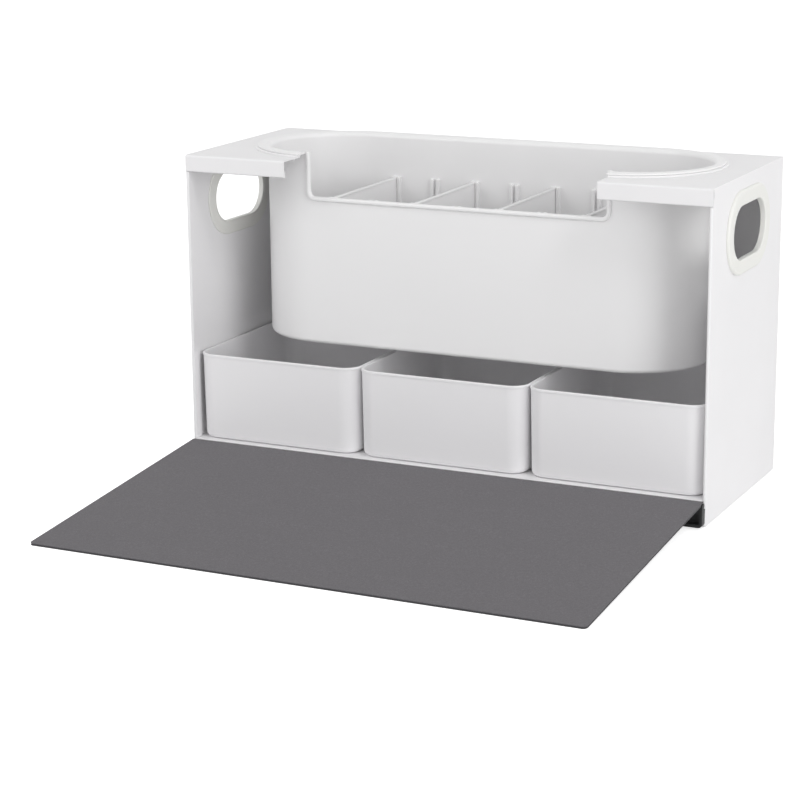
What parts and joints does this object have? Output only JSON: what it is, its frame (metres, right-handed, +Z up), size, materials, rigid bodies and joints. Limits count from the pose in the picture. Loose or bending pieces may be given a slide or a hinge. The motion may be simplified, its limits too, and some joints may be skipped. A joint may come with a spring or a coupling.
{
  "type": "hobby workstation organizer",
  "caption": "White steel desktop organizer with carry holes, a hanging divided tub, open bins and a front flap that folds down into a work mat.",
  "frame": {"origin": "middle of the housing on the surface that it stands on, at the underside of the middle foot", "axes": "+X to the right seen from the front, +Y to the back, +Z up"},
  "size_m": [0.522, 0.4868, 0.3032],
  "materials": {
    "shell_paint": "white powder coat, fine texture",
    "tub_plastic": "satin white moulding",
    "bin_plastic": "satin white moulding",
    "frame_plastic": "warm off-white moulding",
    "spine_plastic": "dark grey, fine grain",
    "mat_fabric": "dark grey felted covering",
    "core_paint": "dark paint",
    "steel": "zinc plated",
    "screw_paint": "white enamelled screw heads",
    "foot_rubber": "matt",
    "holder_plastic": "matt white"
  },
  "bodies": {
    "housing": {"side_panel_left": "shell_paint", "side_panel_right": "shell_paint", "top_panel": "shell_paint", "back_panel": "shell_paint", "base_deck": "shell_paint", "deck_brace": "shell_paint", "feet": "foot_rubber", "top_trim": "tub_plastic", "grommet_left_outer": "frame_plastic", "grommet_left_inner": "frame_plastic", "grommet_right_outer": "frame_plastic", "grommet_right_inner": "frame_plastic", "catch_magnets": "steel", "magnet_holders": "holder_plastic", "back_screws": "screw_paint", "deck_screws": "steel", "spine_screws": "steel", "hinge_spine": "spine_plastic", "hinge_pin": "steel"},
    "flap": {"flap_core": "core_paint", "flap_mat": "mat_fabric", "flap_backing": "mat_fabric"},
    "tub": {"tub": "tub_plastic"},
    "divider_1": {"divider_1": "tub_plastic"},
    "divider_2": {"divider_2": "tub_plastic"},
    "divider_3": {"divider_3": "tub_plastic"},
    "divider_4": {"divider_4": "tub_plastic"},
    "bin_left": {"bin_left": "bin_plastic"},
    "bin_centre": {"bin_centre": "bin_plastic"},
    "bin_right": {"bin_right": "bin_plastic"}
  },
  "joints": [
    {"name": "flap_hinge", "type": "hinge", "parent": "housing", "child": "flap", "pos_m": [0, -0.1066, 0.0222], "axis": [1, 0, 0], "range_deg": [-94.8, 0]},
    {"name": "tub_lift", "type": "slide", "parent": "housing", "child": "tub", "axis": [0, 0, 1], "range_m": [0, 0.18]},
    {"name": "divider_1_lift", "type": "slide", "parent": "tub", "child": "divider_1", "axis": [0, 0, 1], "range_m": [0, 0.145]},
    {"name": "divider_2_lift", "type": "slide", "parent": "tub", "child": "divider_2", "axis": [0, 0, 1], "range_m": [0, 0.145]},
    {"name": "divider_3_lift", "type": "slide", "parent": "tub", "child": "divider_3", "axis": [0, 0, 1], "range_m": [0, 0.145]},
    {"name": "divider_4_lift", "type": "slide", "parent": "tub", "child": "divider_4", "axis": [0, 0, 1], "range_m": [0, 0.145]},
    {"name": "bin_left_slide", "type": "slide", "parent": "housing", "child": "bin_left", "axis": [0, -1, 0], "range_m": [0, 0.14]},
    {"name": "bin_centre_slide", "type": "slide", "parent": "housing", "child": "bin_centre", "axis": [0, -1, 0], "range_m": [0, 0.14]},
    {"name": "bin_right_slide", "type": "slide", "parent": "housing", "child": "bin_right", "axis": [0, -1, 0], "range_m": [0, 0.14]}
  ]
}
